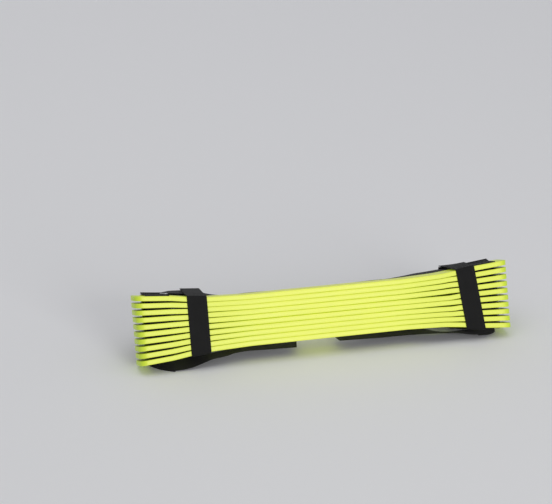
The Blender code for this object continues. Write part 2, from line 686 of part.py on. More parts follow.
def main():
    clear_scene()
    neon = make_material("rung neon plastic", NEON, 0.38)
    black = make_material("side webbing black", WEB_BLACK, 0.85)
    tie_black = make_material("tie webbing black", TIE_BLACK, 0.80)
    pad_black = make_material("hook and loop black", PAD_BLACK, 0.95)

    stack = bpy.data.objects.new("stack_frame", None)
    bpy.context.scene.collection.objects.link(stack)
    stack.rotation_euler = (-LEAN_ANGLE, 0.0, 0.0)
    stack.location = (0.0, 0.0, STACK_HEIGHT)

    for level in range(RUNG_COUNT):
        origin = Vector((0.0, 0.0, rung_height(level, 0.0)))
        make_object(f"rung_{level + 1:02d}", build_rung_mesh(level), origin, stack, neon)

    tab_drop = HALF_TIE + TAB_END_GAP
    pad_drop = tab_drop + (TAB_LENGTH - PAD_LENGTH) / 2 + PAD_EDGE_MARGIN
    hook_depth = tab_depth() - HALF_TIE - TOUCH_GAP - PAD_THICKNESS / 2
    loop_depth = hook_depth - PAD_THICKNESS - TOUCH_GAP
    sides = (
        ("left", -1, START_TAIL_LEFT_SHARE, END_TAIL_LEFT_SHARE),
        ("right", 1, START_TAIL_RIGHT_SHARE, END_TAIL_RIGHT_SHARE),
    )
    for name, side, start_share, end_share in sides:
        zero = Vector((0.0, 0.0, 0.0))
        webbing = build_side_webbing(side, start_share, end_share)
        make_object(f"{name}_side_webbing", webbing, zero, stack, black)
        centre = Vector((side * sum(tie_edges(side)) / 2, 0.0, 0.0))
        make_object(f"{name}_tie_band", build_tie_band(side), centre, stack, tie_black)
        tab, hinge = rear_panel(side, tab_depth(), TIE_THICKNESS, tab_drop, TAB_LENGTH, 0.0)
        make_object(f"{name}_tie_tab", tab, hinge, stack, tie_black)
        hook, _ = rear_panel(side, hook_depth, PAD_THICKNESS, pad_drop, PAD_LENGTH, PAD_EDGE_MARGIN)
        make_object(f"{name}_tie_hook_pad", hook, hinge, stack, pad_black)
        loop, _ = rear_panel(side, loop_depth, PAD_THICKNESS, pad_drop, PAD_LENGTH, PAD_EDGE_MARGIN)
        make_object(f"{name}_tie_loop_pad", loop, centre, stack, pad_black)

    # The part's origin is at the middle of its own footprint
    bpy.context.view_layer.update()
    depths = [
        (item.matrix_world @ vertex.co).y
        for item in bpy.context.scene.objects if item.type == "MESH"
        for vertex in item.data.vertices
    ]
    stack.location.y = -(min(depths) + max(depths)) / 2
    bpy.context.view_layer.update()


main()
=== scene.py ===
"""An agility ladder put away: ten neon rungs stacked on their two webbing straps,
tied round near each end, on a plain pale floor."""
import math

import bmesh
import bpy
from mathutils import Matrix, Vector


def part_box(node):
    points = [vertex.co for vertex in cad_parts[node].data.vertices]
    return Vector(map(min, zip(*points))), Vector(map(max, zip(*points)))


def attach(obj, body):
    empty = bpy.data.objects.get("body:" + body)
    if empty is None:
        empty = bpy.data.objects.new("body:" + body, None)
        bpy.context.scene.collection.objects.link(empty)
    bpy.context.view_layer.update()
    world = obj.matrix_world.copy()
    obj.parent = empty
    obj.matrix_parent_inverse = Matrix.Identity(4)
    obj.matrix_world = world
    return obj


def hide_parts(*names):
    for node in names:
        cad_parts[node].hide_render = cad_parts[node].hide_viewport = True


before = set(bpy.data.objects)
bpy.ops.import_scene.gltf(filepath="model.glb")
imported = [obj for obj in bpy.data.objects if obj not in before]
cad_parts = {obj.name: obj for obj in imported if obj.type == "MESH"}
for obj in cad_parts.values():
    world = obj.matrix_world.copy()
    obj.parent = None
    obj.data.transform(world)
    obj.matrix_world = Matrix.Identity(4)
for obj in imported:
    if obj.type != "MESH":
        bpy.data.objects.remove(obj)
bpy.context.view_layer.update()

# Sizes of the ladder in metres, as the solids have them, and of the stitches
RUNG_COUNT = 10
RUNG_LENGTH = 0.480
RUNG_WIDTH = 0.038
RUNG_THICKNESS = 0.0059
RUNG_CORNER_RADIUS = 0.009
RUNG_EDGE_ROUND = 0.0005
RUNG_GAP_MIDDLE = 0.0005
RUNG_GAP_TIE_INSIDE = 0.0009
RUNG_GAP_TIE_OUTSIDE = 0.0015
RUNG_GAP_TIP = 0.0030
SLOT_SPACING = 0.026
SLOT_WIDTH = 0.0036
SLOT_END_PLAY = 0.002
WEB_WIDTH = 0.030
WEB_THICKNESS = 0.0007
WEB_CLEARANCE = 0.00026
WEB_TIP_MARGIN = 0.014
WEB_BEND_RADIUS = 0.0009
LOOP_HALF_HEIGHT = 0.0024
LOOP_REAR_GAP = 0.001
LOOP_TURN_STEP = 0.004
LOOP_FOLD_RUNOUT = 0.002
LOOP_RISE = 0.0057
LEFT_RISE_INSETS = (0.0, 0.006, 0.012, 0.025, 0.036, 0.050, 0.060, 0.074)
LEFT_RISE_SHARES = (0.0, 0.40, 0.65, 0.83, 0.95, 0.95, 0.40, 0.0)
RIGHT_RISE_INSETS = (0.0, 0.006, 0.015, 0.027, 0.040, 0.061, 0.080, 0.100)
RIGHT_RISE_SHARES = (-0.24, -0.08, 0.20, 0.37, 0.42, 0.40, 0.20, 0.0)
FLOOR_GAP = 0.001
FLOOR_TURN_DEPTH = 0.040
FLOOR_FRONT_DEPTH = -0.028
FLOOR_FOLD_RADIUS = 0.0006
LEFT_TAIL_INSETS = (0.002, 0.013, 0.023, 0.035, 0.047, 0.067, 0.075, 0.093, 0.120, 0.154)
LEFT_TAIL_FRONT_RISES = (0.0, 0.0005, 0.0020, 0.0062, 0.0105, 0.0126, 0.0150, 0.0160, 0.0147, 0.0137)
LEFT_TAIL_REAR_RISES = (0.0, 0.0015, 0.0040, 0.0043, 0.0045, 0.0066, 0.0085, 0.0100, 0.0102, 0.0102)
RIGHT_TAIL_INSETS = (0.002, 0.013, 0.023, 0.036, 0.050, 0.064, 0.080, 0.100, 0.130, 0.182)
RIGHT_TAIL_FRONT_RISES = (0.0055, 0.0072, 0.0098, 0.0116, 0.0129, 0.0136, 0.0141, 0.0143, 0.0147, 0.0165)
RIGHT_TAIL_REAR_RISES = (0.0, 0.0, 0.0, 0.0008, 0.0034, 0.0082, 0.0100, 0.0104, 0.0105, 0.0102)
TIE_WIDTH = 0.025
TIE_THICKNESS = 0.0011
TIE_LEFT_INSET = 0.020
TIE_RIGHT_OVERLAP = 0.0034
TIE_FRONT_CLEARANCE = 0.0003
TIE_TOP_CLEARANCE = 0.0006
TIE_CORNER_RADIUS = 0.0019
TAB_LENGTH = 0.045
TAB_END_GAP = 0.0008
PAD_LENGTH = 0.038
PAD_THICKNESS = 0.0008
PAD_EDGE_MARGIN = 0.0012
TOUCH_GAP = 0.0003
STITCH_LENGTH = 0.0026
STITCH_PITCH = 0.0036
STITCH_RADIUS = 0.00022
STITCH_MARGIN = 0.0030
LEAN_ANGLE = math.radians(20)
FAN_START_SHARE = 0.42
LEVELLING_TOP_SHARE = -0.12
LEVELLING_BOTTOM_SHARE = 0.33
LOOP_TURN_SHARE = 0.255
START_TAIL_SHARES = {-1: 0.765, 1: 0.90}
END_TAIL_SHARES = {-1: 0.202, 1: 0.083}

# How each tie lies askew: by the height, and by the depth at its top and at its bottom
TIE_SKEWS = {-1: (0.0, 0.07, 0.0), 1: (0.109, 0.0, 0.226)}

# How the stack has settled between the ties: the gaps under rungs 1 to 9, as shares of the usual gap
SETTLED_PLACES = (-0.150, 0.0, 0.155)
GAP_SHARES = (
    (0.3, 0.8, 0.3), (0.25, 0.7, 1.0), (1.0, 1.1, 1.4), (1.0, 1.0, 2.3), (1.5, 1.9, 0.3),
    (1.9, 0.9, 1.7), (1.3, 0.9, 0.7), (1.3, 0.8, 0.65), (0.45, 0.9, 0.65),
)
SETTLED_FADE = 0.018

# How far the soft folds on the floor puff out over their creases
FLOOR_FOLD_BULGES = {-1: 0.004, 1: 0.010}

# Where the strap under the stack has slid back and dropped a little, by how far in it is
DRIFT_INSETS = (0.055, 0.095)
TAIL_DRIFT = 0.010
FRONT_DROP = 0.0039
REAR_DROP = 0.0040

# How slanting each strap's end is cut: its rear corner lies this much further in, over this length
END_SLANTS = {-1: 0.0075, 1: 0.0}
END_SLANT_LENGTH = 0.030

# How much the folded loops wander: back and forth at their inner ends, and up and down in waves
LOOP_SWAY = 0.0025
LOOP_WAVE = 0.0003
SWAY_RADIANS_PER_LEVEL = 2.4
WAVE_RADIANS_PER_METRE = 95
WAVE_RADIANS_PER_LEVEL = 1.7
WAVE_FADE = 4

# Steps along curves, and where edges count as rims or bends
BEND_STEPS = 4
FOLD_STEPS = 6
TURN_STEPS = 12
CORNER_STEPS = 8
EDGE_STEPS = 3
PANEL_STEPS = 24
RUNG_COLUMNS = 36
COLUMN_ROOM = 0.003
RUN_STEP = 0.005
TAIL_STEP = 0.0025
GENTLE_TURN = math.radians(15)
SHARP_RIM = math.radians(70)
SAME_SPOT = 1e-6
SMOOTHING = 0.004
SMOOTHING_STEPS = 3
LOOP_TURN_CYCLE = 3

HALF_LENGTH = RUNG_LENGTH / 2
HALF_WIDTH = RUNG_WIDTH / 2
HALF_THICKNESS = RUNG_THICKNESS / 2
HALF_WEB = WEB_THICKNESS / 2
HALF_TIE = TIE_THICKNESS / 2
WEB_OUTSIDE = HALF_LENGTH - WEB_TIP_MARGIN
WEB_INSIDE = WEB_OUTSIDE - WEB_WIDTH
RUNG_GAP_WEB = 2 * WEB_THICKNESS + 3 * WEB_CLEARANCE
LAYER_HEIGHT = HALF_THICKNESS + WEB_CLEARANCE + HALF_WEB
LAYER_STEP = WEB_THICKNESS + WEB_CLEARANCE
SLOT_REACH = SLOT_SPACING / 2
LOOP_FRONT = HALF_WIDTH + LOOP_REAR_GAP
LOOP_REAR = LOOP_FRONT + WEB_WIDTH
LOOP_DEPTH = LOOP_REAR - HALF_WIDTH
LOOP_FOLD_RADIUS = (LAYER_HEIGHT - LOOP_HALF_HEIGHT) / 2
LEVELLING_STEP = (LEVELLING_BOTTOM_SHARE - LEVELLING_TOP_SHARE) / (RUNG_COUNT - 1)
REAR_SQUEEZE = math.tan(LEAN_ANGLE) * LOOP_DEPTH * LEVELLING_STEP / (2 * LAYER_HEIGHT)
FLAT_TAIL_HEIGHT = HALF_WEB + 2 * FLOOR_FOLD_RADIUS
TIE_LEFT_OUTSIDE = WEB_INSIDE - TIE_LEFT_INSET
TIE_LEFT_INSIDE = TIE_LEFT_OUTSIDE - TIE_WIDTH
TIE_RIGHT_OUTSIDE = WEB_INSIDE + TIE_RIGHT_OVERLAP

FAN_PLACES = (
    0.0, FAN_START_SHARE * HALF_LENGTH, TIE_LEFT_INSIDE, TIE_LEFT_OUTSIDE, WEB_INSIDE, HALF_LENGTH,
)
FAN_GAPS = (
    RUNG_GAP_MIDDLE, RUNG_GAP_MIDDLE, RUNG_GAP_TIE_INSIDE, RUNG_GAP_TIE_OUTSIDE, RUNG_GAP_WEB, RUNG_GAP_TIP,
)
RISE_TABLES = {
    -1: (LEFT_RISE_INSETS, LEFT_RISE_SHARES),
    1: (RIGHT_RISE_INSETS, RIGHT_RISE_SHARES),
}
TAIL_TABLES = {
    -1: (LEFT_TAIL_INSETS, LEFT_TAIL_FRONT_RISES, LEFT_TAIL_REAR_RISES),
    1: (RIGHT_TAIL_INSETS, RIGHT_TAIL_FRONT_RISES, RIGHT_TAIL_REAR_RISES),
}
UP = Vector((0.0, 0.0, 1.0))


# The stack's fan and lean

def between(places, values, place):
    """The value at a place, along the straight lines through a table of rising places."""
    if place <= places[0]:
        return values[0]
    for index in range(1, len(places)):
        if place <= places[index]:
            share = (place - places[index - 1]) / (places[index] - places[index - 1])
            return values[index - 1] + share * (values[index] - values[index - 1])
    return values[-1]


def softened(places, values, place):
    """The same table with its corners rounded off."""
    steps = range(-SMOOTHING_STEPS, SMOOTHING_STEPS + 1)
    spread = [between(places, values, place + SMOOTHING * step / SMOOTHING_STEPS) for step in steps]
    return sum(spread) / len(spread)


def pitch(place):
    return RUNG_THICKNESS + softened(FAN_PLACES, FAN_GAPS, abs(place))


def settled(level, place):
    """How far a rung has settled off its even place, only between the ties."""
    drop = sum(1 - between(SETTLED_PLACES, shares, place) for shares in GAP_SHARES[:level])
    fade = min(max((TIE_LEFT_OUTSIDE - abs(place)) / SETTLED_FADE, 0.0), 1.0)
    return drop * (pitch(place) - RUNG_THICKNESS) * fade * fade * (3 - 2 * fade)


def rung_height(level, place):
    return ((RUNG_COUNT - 1) / 2 - level) * pitch(place)


def rear_share(depth):
    return max(depth - HALF_WIDTH, 0.0) / LOOP_DEPTH


def rear_lift(level, depth, rise_share):
    """Behind the stack the low loops turn towards level, and all rise by a share of the named rise."""
    full = math.tan(LEAN_ANGLE) * LOOP_DEPTH * (LEVELLING_TOP_SHARE + LEVELLING_STEP * level)
    full += LOOP_RISE * rise_share * (1 - level / (RUNG_COUNT - 1))
    return full * rear_share(depth)


STACK_HEIGHT = (
    (HALF_THICKNESS - rung_height(RUNG_COUNT - 1, HALF_LENGTH)) * math.cos(LEAN_ANGLE)
    + HALF_WIDTH * math.sin(LEAN_ANGLE)
    + FLOOR_GAP
)


def lean(point):
    """From the stack's own coordinates to upright ones, centred on the stack."""
    return Vector((
        point.x,
        point.y * math.cos(LEAN_ANGLE) + point.z * math.sin(LEAN_ANGLE),
        point.z * math.cos(LEAN_ANGLE) - point.y * math.sin(LEAN_ANGLE),
    ))


# The stack's centre, from where the solids put the middle rungs
low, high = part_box("rung_05")
low_next, high_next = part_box("rung_06")
STACK_CENTRE = Vector((0.0, (low.y + high.y + low_next.y + high_next.y) / 4, STACK_HEIGHT))


def from_floor(place, depth, height):
    drop = height - STACK_HEIGHT
    return Vector((
        place,
        depth * math.cos(LEAN_ANGLE) - drop * math.sin(LEAN_ANGLE),
        depth * math.sin(LEAN_ANGLE) + drop * math.cos(LEAN_ANGLE),
    ))


# Node helpers

def new_material(name):
    material = bpy.data.materials.new(name)
    material.use_nodes = True
    tree = material.node_tree
    return material, tree, tree.nodes["Principled BSDF"]


def node(tree, kind, inputs=(), **settings):
    """One node, its settings, and its inputs given as values or as other nodes' outputs."""
    item = tree.nodes.new("ShaderNode" + kind)
    for key, value in settings.items():
        setattr(item, key, value)
    for key, value in dict(inputs).items():
        if isinstance(value, bpy.types.NodeSocket):
            tree.links.new(value, item.inputs[key])
        else:
            item.inputs[key].default_value = value
    return item


def math_node(tree, operation, first, second=0.5, third=None):
    inputs = {0: first, 1: second}
    if third is not None:
        inputs[2] = third
    return node(tree, "Math", inputs, operation=operation).outputs[0]


def colour_ramp(tree, factor, stops):
    ramp = node(tree, "ValToRGB", {"Fac": factor})
    elements = ramp.color_ramp.elements
    while len(elements) < len(stops):
        elements.new(0.5)
    for element, (place, colour) in zip(elements, stops):
        element.position = place
        element.color = (*colour, 1.0)
    return ramp.outputs["Color"]


def mixed(tree, share, first, second):
    """The first colour turning into the second as the share goes from 0 to 1."""
    return node(tree, "Mix", {0: share, 6: first, 7: second}, data_type="RGBA").outputs[2]


def eased(tree, value, start, finish):
    """From 0 to 1, smoothly, as the value goes from the start to the finish."""
    inputs = {0: value, 1: start, 2: finish}
    return node(tree, "MapRange", inputs, interpolation_type="SMOOTHSTEP").outputs["Result"]


# Finishes

# Where the rungs' painted shade and painted glow begin and end, by the distance from the ladder's middle
END_SHADE_SPAN = (0.06, 0.17)
TIP_SHADE_SPAN = (0.227, 0.239)
GAP_SHADE_SPAN = (0.07, 0.17)
GAP_GLOW_SPAN = (0.16, 0.06)


def neon_plastic(name, shaded_side=0):
    """Satin moulded plastic with fine flow lines, with painted shade and painted glow. Faces that lie
    against another rung get a painted glow in the middle of the ladder and painted shade near its
    ends; each rung's ends and rounded tips get painted shade, its other faces a faint painted glow.
    The side that gets the painted shade and glow between rungs is 1 for the top, -1 for the underside
    and 0 for both."""
    material, tree, shader = new_material(name)
    coordinates = node(tree, "TexCoord").outputs
    place = coordinates["Object"]
    stretched = node(tree, "Mapping", {"Vector": place, "Scale": (6.0, 160.0, 160.0)}).outputs["Vector"]
    flow_inputs = {"Vector": stretched, "Scale": 1.6, "Detail": 4.0, "Roughness": 0.55}
    flow = node(tree, "TexNoise", flow_inputs).outputs["Fac"]
    mottle = node(tree, "TexNoise", {"Vector": place, "Scale": 34.0, "Detail": 3.0}).outputs["Fac"]
    grain = node(tree, "TexNoise", {"Vector": place, "Scale": 1500.0, "Detail": 2.0}).outputs["Fac"]
    tone = math_node(tree, "MULTIPLY_ADD", flow, 0.45, math_node(tree, "MULTIPLY", mottle, 0.55))
    edge_colour = colour_ramp(tree, tone, (
        (0.30, (0.70, 0.74, 0.060)), (0.50, (0.76, 0.79, 0.085)), (0.72, (0.81, 0.83, 0.110)),
    ))
    from_middle = math_node(tree, "ABSOLUTE", node(tree, "SeparateXYZ", {"Vector": place}).outputs["X"])
    # Painted shade: the rungs turn darker and greener towards both ends
    painted_end_shade = math_node(tree, "MULTIPLY", eased(tree, from_middle, *END_SHADE_SPAN), 0.45)
    edge_colour = mixed(tree, painted_end_shade, edge_colour, (0.66, 0.74, 0.040, 1.0))
    # Painted shade on the rounded tips, which turn away from the light: they turn dark green
    painted_tip_shade = math_node(tree, "MULTIPLY", eased(tree, from_middle, *TIP_SHADE_SPAN), 0.75)
    edge_colour = mixed(tree, painted_tip_shade, edge_colour, (0.46, 0.64, 0.030, 1.0))
    # Painted shade between the rungs: faces that lie against another rung turn darker towards the ladder's
    # ends
    gap_shade_colour = colour_ramp(tree, tone, (
        (0.30, (0.50, 0.59, 0.035)), (0.50, (0.55, 0.64, 0.045)), (0.72, (0.60, 0.68, 0.060)),
    ))
    upright = (0.0, math.sin(LEAN_ANGLE), math.cos(LEAN_ANGLE))
    normals = {0: coordinates["Normal"], 1: upright}
    facing = node(tree, "VectorMath", normals, operation="DOT_PRODUCT").outputs["Value"]
    if shaded_side:
        facing = math_node(tree, "MULTIPLY", facing, shaded_side)
    else:
        facing = math_node(tree, "ABSOLUTE", facing)
    touching = eased(tree, facing, 0.86, 0.99)
    flat = math_node(tree, "MULTIPLY", touching, eased(tree, from_middle, *GAP_SHADE_SPAN))
    # Painted glow between the rungs: faces that lie against another rung glow brightly in the middle of the
    # ladder
    painted_gap_glow = math_node(tree, "MULTIPLY", touching, eased(tree, from_middle, *GAP_GLOW_SPAN))
    colour = mixed(tree, flat, edge_colour, gap_shade_colour)
    tree.links.new(colour, shader.inputs["Base Color"])
    # Painted glow: the rungs' edges and outer faces glow faintly, while the faces with painted shade between
    # rungs don't
    glow = mixed(tree, flat, (0.40, 0.60, 0.030, 1.0), (0.0, 0.0, 0.0, 1.0))
    glow = mixed(tree, painted_gap_glow, glow, (0.80, 0.92, 0.060, 1.0))
    tree.links.new(glow, shader.inputs["Emission Color"])
    shader.inputs["Emission Strength"].default_value = 0.16
    rough = math_node(tree, "MULTIPLY_ADD", mottle, 0.16, 0.30)
    tree.links.new(rough, shader.inputs["Roughness"])
    shader.inputs["IOR"].default_value = 1.49
    relief = math_node(tree, "MULTIPLY_ADD", flow, 0.7, math_node(tree, "MULTIPLY", grain, 0.3))
    bump = node(tree, "Bump", {"Height": relief, "Strength": 0.12, "Distance": 0.0003})
    tree.links.new(bump.outputs["Normal"], shader.inputs["Normal"])
    return material


def woven(name, colour, yarn, rib, sheen, rough):
    """Narrow webbing: warp yarns along the strap, crossed by wefts."""
    material, tree, shader = new_material(name)
    place = node(tree, "UVMap").outputs["UV"]
    parts = node(tree, "SeparateXYZ", {"Vector": place}).outputs
    across, along = parts["X"], parts["Y"]
    turn = 2 * math.pi
    warp_phase = math_node(tree, "MULTIPLY", across, turn / yarn)
    weft_phase = math_node(tree, "MULTIPLY", along, turn / rib)
    row = math_node(tree, "FLOOR", math_node(tree, "DIVIDE", across, yarn))
    shifted = math_node(tree, "MULTIPLY_ADD", row, math.pi, weft_phase)
    warp = math_node(tree, "ABSOLUTE", math_node(tree, "SINE", math_node(tree, "MULTIPLY", warp_phase, 0.5)))
    weft = math_node(tree, "MULTIPLY_ADD", math_node(tree, "SINE", shifted), 0.5, 0.5)
    weave = math_node(tree, "MULTIPLY", warp, math_node(tree, "MULTIPLY_ADD", weft, 0.65, 0.35))
    object_place = node(tree, "TexCoord").outputs["Object"]
    fuzz = node(tree, "TexNoise", {"Vector": object_place, "Scale": 2600.0, "Detail": 3.0}).outputs["Fac"]
    wear = node(tree, "TexNoise", {"Vector": object_place, "Scale": 55.0, "Detail": 4.0}).outputs["Fac"]
    tone = math_node(tree, "MULTIPLY_ADD", weave, 0.55, math_node(tree, "MULTIPLY", fuzz, 0.25))
    tone = math_node(tree, "MULTIPLY_ADD", wear, 0.30, tone)
    dark = tuple(value * 0.45 for value in colour)
    light = tuple(min(value * 1.9, 1.0) for value in colour)
    shade = colour_ramp(tree, tone, ((0.18, dark), (0.50, colour), (0.95, light)))
    tree.links.new(shade, shader.inputs["Base Color"])
    shader.inputs["Roughness"].default_value = rough
    shader.inputs["Sheen Weight"].default_value = sheen
    shader.inputs["Sheen Roughness"].default_value = 0.45
    shader.inputs["Specular IOR Level"].default_value = 0.18
    relief = math_node(tree, "MULTIPLY_ADD", weave, 0.85, math_node(tree, "MULTIPLY", fuzz, 0.15))
    bump = node(tree, "Bump", {"Height": relief, "Strength": 0.75, "Distance": 0.00022})
    tree.links.new(bump.outputs["Normal"], shader.inputs["Normal"])
    return material


def napped(name, colour, scale, depth):
    """Hook or loop tape: a close, matt pile of tiny loops."""
    material, tree, shader = new_material(name)
    place = node(tree, "TexCoord").outputs["Object"]
    cells = node(tree, "TexVoronoi", {"Vector": place, "Scale": scale, "Randomness": 0.8}).outputs["Distance"]
    fuzz = node(tree, "TexNoise", {"Vector": place, "Scale": scale * 1.7, "Detail": 4.0}).outputs["Fac"]
    pile = math_node(tree, "MULTIPLY_ADD", cells, -0.6, math_node(tree, "MULTIPLY_ADD", fuzz, 0.5, 0.5))
    dark = tuple(value * 0.4 for value in colour)
    light = tuple(value * 2.1 for value in colour)
    shade = colour_ramp(tree, pile, ((0.2, dark), (0.55, colour), (0.9, light)))
    tree.links.new(shade, shader.inputs["Base Color"])
    shader.inputs["Roughness"].default_value = 0.95
    shader.inputs["Sheen Weight"].default_value = 0.4
    bump = node(tree, "Bump", {"Height": pile, "Strength": 0.9, "Distance": depth})
    tree.links.new(bump.outputs["Normal"], shader.inputs["Normal"])
    return material


def thread_finish():
    material, tree, shader = new_material("black sewing thread")
    place = node(tree, "TexCoord").outputs["Object"]
    twist = node(tree, "TexWave", {"Vector": place, "Scale": 900.0, "Distortion": 1.5}).outputs["Fac"]
    shade = colour_ramp(tree, twist, ((0.0, (0.012, 0.012, 0.014)), (1.0, (0.055, 0.055, 0.062))))
    tree.links.new(shade, shader.inputs["Base Color"])
    shader.inputs["Roughness"].default_value = 0.55
    return material


NEON = neon_plastic("neon plastic")
# The top and bottom rungs' copies get the painted shade and glow between rungs only on the face that lies
# against another rung
NEON_TOP = neon_plastic("neon plastic of the top rung", -1)
NEON_BOTTOM = neon_plastic("neon plastic of the bottom rung", 1)
WEBBING = woven("side webbing weave", (0.0085, 0.0085, 0.0095), 0.0011, 0.0016, 0.09, 0.76)
TIE_WEBBING = woven("tie webbing weave", (0.0085, 0.0085, 0.0085), 0.0008, 0.0012, 0.04, 0.74)
HOOKS = napped("hook tape", (0.026, 0.026, 0.028), 1400.0, 0.0004)
LOOPS = napped("loop tape", (0.030, 0.030, 0.033), 900.0, 0.0005)
THREAD = thread_finish()


# Making pieces

def finish_piece(name, bm, body, material, replaced=(), sharp=50):
    """Leans the mesh with the stack, sets it in place and hands it to its body. Edges that turn
    more than the sharp angle, in degrees, aren't shaded smooth."""
    for vert in bm.verts:
        vert.co = lean(vert.co) + STACK_CENTRE
    mesh = bpy.data.meshes.new(name)
    bm.to_mesh(mesh)
    bm.free()
    mesh.shade_smooth()
    mesh.set_sharp_from_angle(angle=math.radians(sharp))
    piece = bpy.data.objects.new(name, mesh)
    bpy.context.scene.collection.objects.link(piece)
    piece.data.materials.append(material)
    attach(piece, body)
    if replaced:
        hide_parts(*replaced)
    return piece


def cut_across(bm, axis, places):
    """Extra edge rows square to one axis."""
    for place in places:
        geometry = bm.verts[:] + bm.edges[:] + bm.faces[:]
        spot = Vector((place, 0, 0)) if axis == 0 else Vector((0, place, 0))
        normal = Vector((1, 0, 0)) if axis == 0 else Vector((0, 1, 0))
        bmesh.ops.bisect_plane(bm, geom=geometry, plane_co=spot, plane_no=normal, dist=SAME_SPOT)


def make_rung(level):
    """A flat bar with rounded ends and edges, two slots near each end, bent to the fan."""
    bm = bmesh.new()
    bmesh.ops.create_grid(bm, x_segments=1, y_segments=1, size=0.5)
    bmesh.ops.scale(bm, vec=(RUNG_LENGTH, RUNG_WIDTH, 1.0), verts=bm.verts)
    bmesh.ops.bevel(
        bm, geom=bm.verts[:], affect="VERTICES", offset=RUNG_CORNER_RADIUS, offset_type="OFFSET",
        segments=CORNER_STEPS, profile=0.5, material=-1,
    )
    slot_rows = [sign * (SLOT_REACH + half * SLOT_WIDTH / 2) for sign in (-1, 1) for half in (-1, 1)]
    slot_ends = [WEB_INSIDE - SLOT_END_PLAY, WEB_OUTSIDE + SLOT_END_PLAY]
    columns = [HALF_LENGTH * number / RUNG_COLUMNS for number in range(1, RUNG_COLUMNS - 1)]
    columns = [place for place in columns if min(abs(place - end) for end in slot_ends) > COLUMN_ROOM]
    columns += slot_ends
    cut_across(bm, 0, [0.0] + columns + [-place for place in columns])
    cut_across(bm, 1, slot_rows)
    gone = []
    for face in bm.faces:
        middle = face.calc_center_median()
        in_row = abs(abs(middle.y) - SLOT_REACH) < SLOT_WIDTH / 2
        if in_row and slot_ends[0] < abs(middle.x) < slot_ends[1]:
            gone.append(face)
    bmesh.ops.delete(bm, geom=gone, context="FACES")
    made = bmesh.ops.extrude_face_region(bm, geom=bm.faces[:])["geom"]
    top = [item for item in made if isinstance(item, bmesh.types.BMVert)]
    bmesh.ops.translate(bm, vec=(0, 0, RUNG_THICKNESS), verts=top)
    bmesh.ops.translate(bm, vec=(0, 0, -HALF_THICKNESS), verts=bm.verts)
    bmesh.ops.recalc_face_normals(bm, faces=bm.faces)
    rims = [edge for edge in bm.edges if edge.calc_face_angle(0.0) > SHARP_RIM]
    rims = [edge for edge in rims if abs(edge.verts[0].co.z - edge.verts[1].co.z) < SAME_SPOT]
    bmesh.ops.bevel(
        bm, geom=rims, affect="EDGES", offset=RUNG_EDGE_ROUND, offset_type="OFFSET",
        segments=EDGE_STEPS, profile=0.5, material=-1, clamp_overlap=True,
    )
    for vert in bm.verts:
        vert.co.z += rung_height(level, vert.co.x) + settled(level, vert.co.x)
    name = f"rung_{level + 1:02d}"
    finish = {0: NEON_TOP, RUNG_COUNT - 1: NEON_BOTTOM}.get(level, NEON)
    finish_piece(f"{name}_moulded", bm, name, finish, (name,))


# A strap's section, as shares of its width and of half its thickness, with round selvedges
STRAP_SECTION_SHARES = (
    (0.010, 0.80), (0.030, 1.0), (0.16, 1.0), (0.33, 1.0), (0.50, 1.0), (0.67, 1.0), (0.84, 1.0),
    (0.970, 1.0), (0.990, 0.80), (1.0, 0.0), (0.990, -0.80), (0.970, -1.0), (0.84, -1.0), (0.67, -1.0),
    (0.50, -1.0), (0.33, -1.0), (0.16, -1.0), (0.030, -1.0), (0.010, -0.80), (0.0, 0.0),
)


class Strap:
    """Stations along a strap, each with its two edges and the way its face looks."""

    def __init__(self, width, thickness, side):
        self.width = width
        self.half = thickness / 2
        self.side = side
        self.stations = []

    def add(self, first, second, facing, other=None, bulge=Vector()):
        """The bulge is how far the station's middle lies off the straight line between its edges."""
        self.stations.append((first, second, facing.normalized(), (other or facing).normalized(), bulge))

    def length(self):
        middles = [(first + second) / 2 for first, second, *_ in self.stations]
        return sum((b - a).length for a, b in zip(middles, middles[1:]))

    def build(self):
        """A sheet of faces, rolled into the strap's closed section along its stations."""
        section = STRAP_SECTION_SHARES + STRAP_SECTION_SHARES[:1]
        rows = len(self.stations)
        bm = bmesh.new()
        bmesh.ops.create_grid(bm, x_segments=len(section) - 1, y_segments=rows - 1, size=0.5)
        weave = bm.loops.layers.uv.new("weave")
        middles = [(first + second) / 2 for first, second, *_ in self.stations]
        run = [0.0]
        for before, after in zip(middles, middles[1:]):
            run.append(run[-1] + (after - before).length)
        mirror = Vector((self.side, 1, 1))
        spots = {}
        for vert in bm.verts:
            column = round((vert.co.x + 0.5) * (len(section) - 1))
            row = round((vert.co.y + 0.5) * (rows - 1))
            spots[vert] = (column, row)
        for face in bm.faces:
            for loop in face.loops:
                column, row = spots[loop.vert]
                loop[weave].uv = (section[column][0] * self.width, run[row])
        for vert, (column, row) in spots.items():
            first, second, facing, other, bulge = self.stations[row]
            share, rise = section[column]
            turned = facing.lerp(other, share).normalized()
            spot = first.lerp(second, share) + bulge * 4 * share * (1 - share)
            vert.co = (spot + turned * self.half * rise) * mirror
        bmesh.ops.remove_doubles(bm, verts=bm.verts, dist=SAME_SPOT)
        ends = [edge for edge in bm.edges if edge.is_boundary]
        bmesh.ops.holes_fill(bm, edges=ends, sides=0)
        bmesh.ops.recalc_face_normals(bm, faces=bm.faces)
        return bm


def webbing_point(side, level, place, depth, offset):
    """A point near a rung: its height is counted from that rung's centre plane."""
    rise_share = softened(*RISE_TABLES[side], WEB_INSIDE - place)
    squeezed = offset * (1 - REAR_SQUEEZE * rear_share(depth))
    height = rung_height(level, place) + squeezed + rear_lift(level, depth, rise_share)
    return Vector((place, depth, height))


def add_across(strap, level, depth, offset, facing=UP):
    strap.add(
        webbing_point(strap.side, level, WEB_INSIDE, depth, offset),
        webbing_point(strap.side, level, WEB_OUTSIDE, depth, offset),
        facing,
    )


